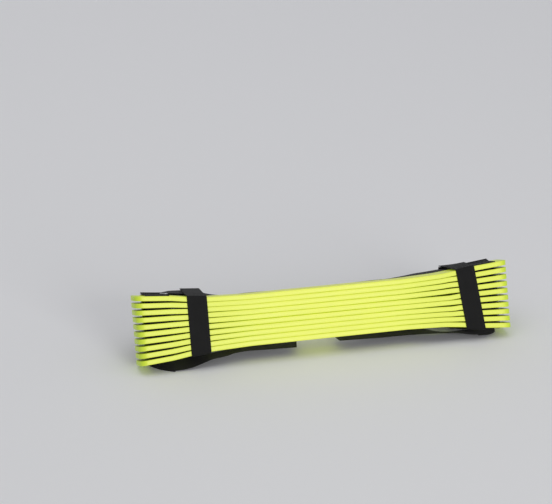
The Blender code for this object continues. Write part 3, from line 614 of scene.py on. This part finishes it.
def add_bend(strap, level, centre_depth, centre_offset, start, sweep):
    for step in range(BEND_STEPS + 1):
        angle = start + sweep * step / BEND_STEPS
        out = Vector((0.0, math.cos(angle), math.sin(angle)))
        add_across(
            strap, level,
            centre_depth + WEB_BEND_RADIUS * math.cos(angle),
            centre_offset + WEB_BEND_RADIUS * math.sin(angle),
            out if sweep > 0 else -out,
        )


def thread_rung(strap, level):
    """In from behind, down the front slot, back under the bridge, up the rear slot and out behind."""
    radius = WEB_BEND_RADIUS
    quarter = math.pi / 2
    bend_height = LAYER_HEIGHT - radius
    reach = LAYER_STEP * (RUNG_THICKNESS + RUNG_GAP_WEB - 2 * bend_height) / (4 * radius)
    add_across(strap, level, SLOT_REACH + reach, LAYER_HEIGHT + LAYER_STEP)
    add_across(strap, level, SLOT_REACH - reach, LAYER_HEIGHT)
    add_bend(strap, level, -SLOT_REACH + radius, bend_height, quarter, quarter)
    add_bend(strap, level, -SLOT_REACH + radius, -bend_height, 2 * quarter, quarter)
    add_bend(strap, level, SLOT_REACH - radius, -bend_height, -quarter, quarter)
    add_bend(strap, level, SLOT_REACH + radius, bend_height, 2 * quarter, -quarter)


def add_rear_fold(strap, level, offset, outwards):
    """Turned through a right angle over a slanting crease behind the stack."""
    radius = LOOP_FOLD_RADIUS
    slant = Vector((1.0, 1.0, 0.0)).normalized()
    across = ((WEB_INSIDE, LOOP_FRONT - LOOP_FOLD_RUNOUT), (WEB_OUTSIDE, LOOP_FRONT - LOOP_FOLD_RUNOUT))
    along = ((WEB_INSIDE - LOOP_FOLD_RUNOUT, LOOP_REAR), (WEB_INSIDE - LOOP_FOLD_RUNOUT, LOOP_FRONT))
    crease = ((WEB_INSIDE, LOOP_REAR), (WEB_OUTSIDE, LOOP_FRONT))

    def edges(spots, height):
        return [webbing_point(strap.side, level, *spot, height) for spot in spots]

    first, second = edges(across if outwards else along, offset)
    strap.add(first, second, -UP)
    for step in range(FOLD_STEPS + 1):
        angle = math.pi * step / FOLD_STEPS
        out = slant * math.sin(angle) + UP * math.cos(angle)
        first, second = edges(crease, offset - radius)
        strap.add(first + out * radius, second + out * radius, -out)
    first, second = edges(along if outwards else across, offset - 2 * radius)
    strap.add(first, second, UP)


def add_run(strap, level, places, offset, facing):
    """Inwards or outwards behind the stack, wandering a little more the further in it lies."""
    for place in places:
        inset = (WEB_INSIDE - place) / WEB_INSIDE
        sway = LOOP_SWAY * inset * inset * (1 + math.sin(SWAY_RADIANS_PER_LEVEL * level + strap.side)) / 2
        phase = WAVE_RADIANS_PER_METRE * place + WAVE_RADIANS_PER_LEVEL * level
        wave = LOOP_WAVE * min(WAVE_FADE * inset, 1.0) * math.sin(phase)
        strap.add(
            webbing_point(strap.side, level, place, LOOP_REAR, offset + wave) + Vector((0.0, sway, 0.0)),
            webbing_point(strap.side, level, place, LOOP_FRONT, offset) + Vector((0.0, sway, 0.0)),
            facing,
        )


def run_places(end):
    """Even stations from just inside the fold to the run's end."""
    start = WEB_INSIDE - LOOP_FOLD_RUNOUT - RUN_STEP / 2
    count = int((start - end) / RUN_STEP)
    return [start - RUN_STEP * step for step in range(count)]


def add_loop(strap, level):
    turn = LOOP_TURN_SHARE * WEB_INSIDE + LOOP_TURN_STEP * (level % LOOP_TURN_CYCLE)
    reach = LOOP_HALF_HEIGHT
    places = run_places(turn)
    add_rear_fold(strap, level, LAYER_HEIGHT, True)
    add_run(strap, level, places, reach, UP)
    for step in range(TURN_STEPS + 1):
        angle = math.pi / 2 + math.pi * step / TURN_STEPS
        out = Vector((math.cos(angle), 0.0, math.sin(angle)))
        add_run(strap, level, [turn + reach * out.x], reach * out.z, out)
    add_run(strap, level, reversed(places), -reach, -UP)
    add_rear_fold(strap, level, -reach, False)


def add_start_tail(strap):
    end = START_TAIL_SHARES[strap.side] * WEB_INSIDE
    add_run(strap, -1, [end] + list(reversed(run_places(end))), -LOOP_HALF_HEIGHT, -UP)
    add_rear_fold(strap, -1, -LOOP_HALF_HEIGHT, False)


def add_floor_turn(strap, level):
    add_across(strap, level, HALF_WIDTH, LAYER_HEIGHT, -UP)
    leg_start = webbing_point(strap.side, level, WEB_INSIDE, HALF_WIDTH, LAYER_HEIGHT)
    leg_end = webbing_point(strap.side, level, WEB_INSIDE, FLOOR_TURN_DEPTH, LAYER_HEIGHT)
    leg_angle = math.atan2(leg_end.z - leg_start.z, leg_end.y - leg_start.y)
    floor = -(STACK_HEIGHT - HALF_WEB - FLOOR_TURN_DEPTH * math.sin(LEAN_ANGLE)) / math.cos(LEAN_ANGLE)
    leg_share, floor_share = math.cos(leg_angle), math.cos(LEAN_ANGLE)
    arcs = []
    for place in (WEB_INSIDE, WEB_OUTSIDE):
        leg = webbing_point(strap.side, level, place, FLOOR_TURN_DEPTH, LAYER_HEIGHT)
        middle = (leg.z * leg_share + floor * floor_share) / (leg_share + floor_share)
        arcs.append((Vector((place, FLOOR_TURN_DEPTH, middle)), (leg.z - middle) * leg_share))
    start = math.pi / 2 + leg_angle
    finish = LEAN_ANGLE - math.pi / 2
    for step in range(TURN_STEPS + 1):
        angle = start + (finish - start) * step / TURN_STEPS
        out = Vector((0.0, math.cos(angle), math.sin(angle)))
        edges = [centre + out * radius for centre, radius in arcs]
        strap.add(edges[0], edges[1], -out)


def floor_direction(vector):
    return from_floor(*vector) - from_floor(0.0, 0.0, 0.0)


def add_end_tail(strap):
    """Along the floor, folded over at the front and led inwards under the stack."""
    insets, front_rises, rear_rises = TAIL_TABLES[strap.side]
    radius = FLOOR_FOLD_RADIUS
    front, rear = FLOOR_FRONT_DEPTH, FLOOR_FRONT_DEPTH + WEB_WIDTH
    slant = Vector((1.0, -1.0, 0.0)).normalized()
    before = rear + LOOP_FOLD_RUNOUT
    strap.add(
        from_floor(WEB_INSIDE, before, HALF_WEB), from_floor(WEB_OUTSIDE, before, HALF_WEB),
        floor_direction((0.0, 0.0, 1.0)),
    )
    for step in range(FOLD_STEPS + 1):
        angle = math.pi * step / FOLD_STEPS
        reach = slant * radius * math.sin(angle)
        height = HALF_WEB + radius - radius * math.cos(angle)
        edges = [
            from_floor(place + reach.x, depth + reach.y, height + rise)
            for place, depth, rise in ((WEB_INSIDE, front, front_rises[0]), (WEB_OUTSIDE, rear, 0.0))
        ]
        out = floor_direction((slant.x * math.sin(angle), slant.y * math.sin(angle), -math.cos(angle)))
        strap.add(edges[0], edges[1], -out, bulge=floor_direction(slant) * FLOOR_FOLD_BULGES[strap.side])
    last = WEB_INSIDE - END_TAIL_SHARES[strap.side] * WEB_INSIDE
    count = round((last - LOOP_FOLD_RUNOUT) / TAIL_STEP)
    for step in range(count + 1):
        inset = LOOP_FOLD_RUNOUT + (last - LOOP_FOLD_RUNOUT) * step / count
        drift = softened(DRIFT_INSETS, (0.0, 1.0), inset)
        front = FLOOR_FRONT_DEPTH + TAIL_DRIFT * drift
        front_rise = softened(insets, front_rises, inset) - FRONT_DROP * drift
        rear_rise = softened(insets, rear_rises, inset) - REAR_DROP * drift
        tilt = math.asin((front_rise - rear_rise) / WEB_WIDTH)
        place = WEB_INSIDE - inset
        from_end = min((last - inset) / END_SLANT_LENGTH, 1.0)
        rear_place = place - END_SLANTS[strap.side] * (1 - from_end) ** 2
        strap.add(
            from_floor(place, front, FLAT_TAIL_HEIGHT + front_rise),
            from_floor(rear_place, front + WEB_WIDTH * math.cos(tilt), FLAT_TAIL_HEIGHT + rear_rise),
            -floor_direction((0.0, math.sin(tilt), math.cos(tilt))),
        )


def make_side_webbing(name, side):
    strap = Strap(WEB_WIDTH, WEB_THICKNESS, side)
    add_start_tail(strap)
    for level in range(RUNG_COUNT):
        thread_rung(strap, level)
        if level < RUNG_COUNT - 1:
            add_loop(strap, level)
    add_floor_turn(strap, RUNG_COUNT - 1)
    add_end_tail(strap)
    piece = finish_piece(
        f"{name}_webbing_strap", strap.build(), "side_webbing", WEBBING,
        (f"{name}_side_webbing",), sharp=40,
    )


# Ties

def tie_edges(side):
    outside = TIE_LEFT_OUTSIDE if side < 0 else TIE_RIGHT_OUTSIDE
    return outside - TIE_WIDTH, outside


def tie_place(side, edge, depth, height):
    """The ties lie askew: their edges move inwards with the height and with the depth."""
    slant, top_skew, bottom_skew = TIE_SKEWS[side]
    height_share = (1 + height / rung_height(0, edge)) / 2
    skew = bottom_skew + (top_skew - bottom_skew) * height_share
    return edge - slant * height - skew * (depth + HALF_WIDTH)


def tab_depth():
    rear = LOOP_REAR + TIE_TOP_CLEARANCE + TIE_THICKNESS
    return rear + 2 * PAD_THICKNESS + 3 * TOUCH_GAP + HALF_TIE


def loop_height(level, place, depth, rise_share):
    squeezed = LOOP_HALF_HEIGHT * (1 - REAR_SQUEEZE * rear_share(depth))
    return rung_height(level, place) - squeezed + rear_lift(level, depth, rise_share)


def tie_outline(side, edge, under_gap):
    """Corners of the tie's centre line in depth and height, from the rear top round to the rear."""
    gap = TIE_TOP_CLEARANCE + HALF_TIE
    front = -HALF_WIDTH - TIE_FRONT_CLEARANCE - HALF_TIE
    rear = LOOP_REAR + gap
    heel = HALF_WIDTH + TIE_TOP_CLEARANCE
    last = RUNG_COUNT - 1
    above = rung_height(0, edge)
    over_place = tie_place(side, edge, front, above)
    rear_place = tie_place(side, edge, LOOP_FRONT, above)
    under_place = tie_place(side, edge, front, rung_height(last, edge))
    over = rung_height(0, over_place) + HALF_THICKNESS + gap
    under = rung_height(last, under_place) - HALF_THICKNESS - under_gap - HALF_TIE
    rise_share = between(*RISE_TABLES[side], WEB_INSIDE - rear_place)
    rear_top = loop_height(-1, rear_place, LOOP_REAR, rise_share) + HALF_WEB + gap
    rear_bottom = loop_height(last - 1, under_place, LOOP_REAR, 0.0) - HALF_WEB - gap
    straight = over + (rear_top - over) * (LOOP_FRONT - front) / (rear - front)
    bend = max(loop_height(-1, rear_place, LOOP_FRONT, rise_share) + HALF_WEB + gap, straight)
    peak = rear_top + (rear_top - bend) / (rear - LOOP_FRONT) * (tab_depth() - rear)
    stop = rear_top - TIE_THICKNESS - TOUCH_GAP
    return [
        (tab_depth(), peak), (LOOP_FRONT, bend), (front, over), (front, under), (heel, under),
        (rear, rear_bottom), (rear, stop),
    ]


def rounded_path(corners, radius):
    points = [Vector(corner) for corner in corners]
    path = [(points[0], (points[1] - points[0]).normalized())]
    for before, corner, after in zip(points, points[1:], points[2:]):
        arriving = (corner - before).normalized()
        leaving = (after - corner).normalized()
        turn = math.acos(max(-1.0, min(1.0, arriving.dot(leaving))))
        if turn < GENTLE_TURN:
            path.append((corner, (arriving + leaving).normalized()))
            continue
        cut = radius * math.tan(turn / 2)
        side = 1 if arriving.x * leaving.y - arriving.y * leaving.x > 0 else -1
        normal = Vector((-arriving.y, arriving.x)) * side
        centre = corner - arriving * cut + normal * radius
        for step in range(BEND_STEPS + 1):
            turned = Matrix.Rotation(side * turn * step / BEND_STEPS, 2)
            path.append((centre - turned @ (normal * radius), turned @ arriving))
    path.append((points[-1], (points[-1] - points[-2]).normalized()))
    return path


def make_tie_band(name, side):
    strap = Strap(TIE_WIDTH, TIE_THICKNESS, side)
    under_gap = TIE_TOP_CLEARANCE + (LAYER_STEP if side > 0 else 0.0)
    paths = [
        rounded_path(tie_outline(side, edge, under_gap), TIE_CORNER_RADIUS) for edge in tie_edges(side)
    ]
    for inner, outer in zip(*paths):
        spots = []
        for edge, (point, heading) in zip(tie_edges(side), (inner, outer)):
            place = tie_place(side, edge, point.x, point.y)
            spots.append((Vector((place, point.x, point.y)), Vector((0.0, heading.y, -heading.x))))
        strap.add(spots[0][0], spots[1][0], spots[0][1], spots[1][1])
    finish_piece(
        f"{name}_tie_strap", strap.build(), f"{name}_tie", TIE_WEBBING, (f"{name}_tie_band",),
    )


def panel_top(side):
    return min(tie_outline(side, edge, TIE_TOP_CLEARANCE)[0][1] for edge in tie_edges(side))


def panel_edge(side, depth, height, share):
    """A spot on a rear panel, its share counted across the tie from its inner edge."""
    inner, outer = tie_edges(side)
    return Vector((tie_place(side, inner + share * (outer - inner), depth, height), depth, height))


def make_rear_panel(piece_name, side, depth, thickness, drop, length, margin, body, material, cad):
    """A flat strip behind the stack. The drop is how far it starts below the tie's rear top corner."""
    strap = Strap(TIE_WIDTH - 2 * margin, thickness, side)
    top = panel_top(side) - drop
    margin_share = margin / TIE_WIDTH
    for step in range(PANEL_STEPS + 1):
        height = top - length * step / PANEL_STEPS
        first = panel_edge(side, depth, height, margin_share)
        second = panel_edge(side, depth, height, 1 - margin_share)
        strap.add(first, second, Vector((0.0, 1.0, 0.0)))
    finish_piece(piece_name, strap.build(), body, material, (cad,))


def make_stitching(name, side, depth, drop, length):
    """A box of stitches that holds the hook tape on the tab, each a short round thread."""
    bm = bmesh.new()
    top = panel_top(side) - drop
    inset = STITCH_MARGIN / TIE_WIDTH
    corners = [
        (inset, top - STITCH_MARGIN), (1 - inset, top - STITCH_MARGIN),
        (1 - inset, top - length + STITCH_MARGIN), (inset, top - length + STITCH_MARGIN),
    ]
    for (share, height), (next_share, next_height) in zip(corners, corners[1:] + corners[:1]):
        start = panel_edge(side, depth, height, share)
        end = panel_edge(side, depth, next_height, next_share)
        count = round((end - start).length / STITCH_PITCH)
        along = (end - start).normalized()
        turn = Vector((0.0, 0.0, 1.0)).rotation_difference(along).to_matrix().to_4x4()
        for step in range(count):
            middle = start.lerp(end, (step + 0.5) / count)
            stretch = Matrix.Diagonal((STITCH_RADIUS, STITCH_RADIUS, STITCH_LENGTH / 2, 1.0))
            place = Matrix.Translation(middle) @ turn @ stretch
            bmesh.ops.create_uvsphere(bm, u_segments=8, v_segments=6, radius=1.0, matrix=place)
    bmesh.ops.scale(bm, vec=(side, 1, 1), verts=bm.verts)
    bmesh.ops.recalc_face_normals(bm, faces=bm.faces)
    finish_piece(f"{name}_tie_tab_stitching", bm, f"{name}_tab", THREAD, sharp=60)


def make_tie(name, side):
    make_tie_band(name, side)
    tab_drop = HALF_TIE + TAB_END_GAP
    pad_drop = tab_drop + (TAB_LENGTH - PAD_LENGTH) / 2 + PAD_EDGE_MARGIN
    hook_depth = tab_depth() - HALF_TIE - TOUCH_GAP - PAD_THICKNESS / 2
    loop_depth = hook_depth - PAD_THICKNESS - TOUCH_GAP
    make_rear_panel(
        f"{name}_tie_tab_strap", side, tab_depth(), TIE_THICKNESS, tab_drop, TAB_LENGTH, 0.0,
        f"{name}_tab", TIE_WEBBING, f"{name}_tie_tab",
    )
    make_rear_panel(
        f"{name}_tie_hook_tape", side, hook_depth, PAD_THICKNESS, pad_drop, PAD_LENGTH, PAD_EDGE_MARGIN,
        f"{name}_tab", HOOKS, f"{name}_tie_hook_pad",
    )
    make_rear_panel(
        f"{name}_tie_loop_tape", side, loop_depth, PAD_THICKNESS, pad_drop, PAD_LENGTH, PAD_EDGE_MARGIN,
        f"{name}_tie", LOOPS, f"{name}_tie_loop_pad",
    )
    make_stitching(name, side, tab_depth() + HALF_TIE, pad_drop, PAD_LENGTH)


# Camera, floor and light

FOCAL_PIXELS = 2133.85
FRAME_PIXELS = 552
SENSOR = 36.0
CAMERA_TURN = math.radians(14.3637)
CAMERA_LOOK_DOWN = math.radians(21.7722)
CAMERA_OFFSET = Vector((-0.66621, -2.36050, 1.05966))
CLIP_END = 50.0

# The backdrop: how far the floor runs each way, the sweep's radius, the wall's height, half the width
FLOOR_REACH = 3.4
SWEEP_RADIUS = 1.2
WALL_HEIGHT = 4.0
BACKDROP_HALF_WIDTH = 5.0
BACKDROP_ROWS = 60

# The floor's paper is painted paler between these depths, a painted brightening that makes up for the lamps'
# light falling off further back
PALER_FROM = -0.6
PALER_TO = 1.8

# Each soft box: name, place, target, size and power
SOFT_BOXES = (
    ("soft box above", (-0.2, -0.4, 3.0), (0.0, 0.2, 0.0), 3.0, 24.0),
    ("soft box front", (0.7, -3.4, 1.0), (0.0, 0.0, 0.05), 1.3, 48.0),
)
WORLD_STRENGTH = 0.42


def make_camera():
    """At the photograph's angle: low, a little from the left, far off with a long lens."""
    level_share = math.cos(CAMERA_LOOK_DOWN)
    forward = Vector((
        math.sin(CAMERA_TURN) * level_share, math.cos(CAMERA_TURN) * level_share, -math.sin(CAMERA_LOOK_DOWN),
    ))
    right = Vector((math.cos(CAMERA_TURN), -math.sin(CAMERA_TURN), 0.0))
    above = right.cross(forward)
    data = bpy.data.cameras.new("camera")
    data.sensor_fit = "HORIZONTAL"
    data.sensor_width = SENSOR
    data.lens = FOCAL_PIXELS / FRAME_PIXELS * SENSOR
    data.clip_end = CLIP_END
    camera = bpy.data.objects.new("camera", data)
    bpy.context.scene.collection.objects.link(camera)
    rotation = Matrix((right, above, -forward)).transposed().to_4x4()
    camera.matrix_world = Matrix.Translation(STACK_CENTRE + CAMERA_OFFSET) @ rotation
    bpy.context.scene.camera = camera


def make_backdrop():
    """One pale sheet: flat under the ladder, curved up far behind it."""
    bm = bmesh.new()
    bmesh.ops.create_grid(bm, x_segments=1, y_segments=BACKDROP_ROWS, size=1.0)
    bmesh.ops.scale(bm, vec=(BACKDROP_HALF_WIDTH, 1.0, 1.0), verts=bm.verts)
    floor_run = 2 * FLOOR_REACH
    sweep_run = SWEEP_RADIUS * math.pi / 2
    for vert in bm.verts:
        run = (vert.co.y + 1.0) / 2 * (floor_run + sweep_run + WALL_HEIGHT)
        if run < floor_run:
            vert.co.y, vert.co.z = run - FLOOR_REACH, 0.0
        elif run < floor_run + sweep_run:
            angle = (run - floor_run) / SWEEP_RADIUS
            vert.co.y = FLOOR_REACH + SWEEP_RADIUS * math.sin(angle)
            vert.co.z = SWEEP_RADIUS * (1 - math.cos(angle))
        else:
            vert.co.y = FLOOR_REACH + SWEEP_RADIUS
            vert.co.z = SWEEP_RADIUS + run - floor_run - sweep_run
    mesh = bpy.data.meshes.new("backdrop")
    bm.to_mesh(mesh)
    bm.free()
    mesh.shade_smooth()
    item = bpy.data.objects.new("backdrop", mesh)
    bpy.context.scene.collection.objects.link(item)
    material, tree, shader = new_material("backdrop paper")
    place = node(tree, "TexCoord").outputs["Object"]
    depth = node(tree, "SeparateXYZ", {"Vector": place}).outputs["Y"]
    # Painted brightening: the paper turns paler further back, against the lamps' falloff
    far = node(tree, "MapRange", {0: depth, 1: PALER_FROM, 2: PALER_TO}).outputs["Result"]
    tint = colour_ramp(tree, far, ((0.0, (0.770, 0.775, 0.790)), (1.0, (0.955, 0.960, 0.980))))
    tree.links.new(tint, shader.inputs["Base Color"])
    shader.inputs["Roughness"].default_value = 0.85
    shader.inputs["Specular IOR Level"].default_value = 0.2
    mesh.materials.append(material)


def make_light(name, place, target, size, power):
    data = bpy.data.lights.new(name, "AREA")
    data.shape = "SQUARE"
    data.size = size
    data.energy = power
    item = bpy.data.objects.new(name, data)
    bpy.context.scene.collection.objects.link(item)
    item.location = place
    item.rotation_euler = (Vector(target) - Vector(place)).to_track_quat("-Z", "Y").to_euler()


def make_studio():
    make_backdrop()
    for soft_box in SOFT_BOXES:
        make_light(*soft_box)
    world = bpy.data.worlds.new("studio")
    bpy.context.scene.world = world
    world.use_nodes = True
    back = world.node_tree.nodes["Background"]
    back.inputs["Color"].default_value = (1.0, 1.0, 1.02, 1.0)
    back.inputs["Strength"].default_value = WORLD_STRENGTH
    bpy.context.scene.view_settings.view_transform = "Standard"


make_camera()
make_studio()
for level in range(RUNG_COUNT):
    make_rung(level)
make_side_webbing("left", -1)
make_side_webbing("right", 1)
make_tie("left", -1)
make_tie("right", 1)
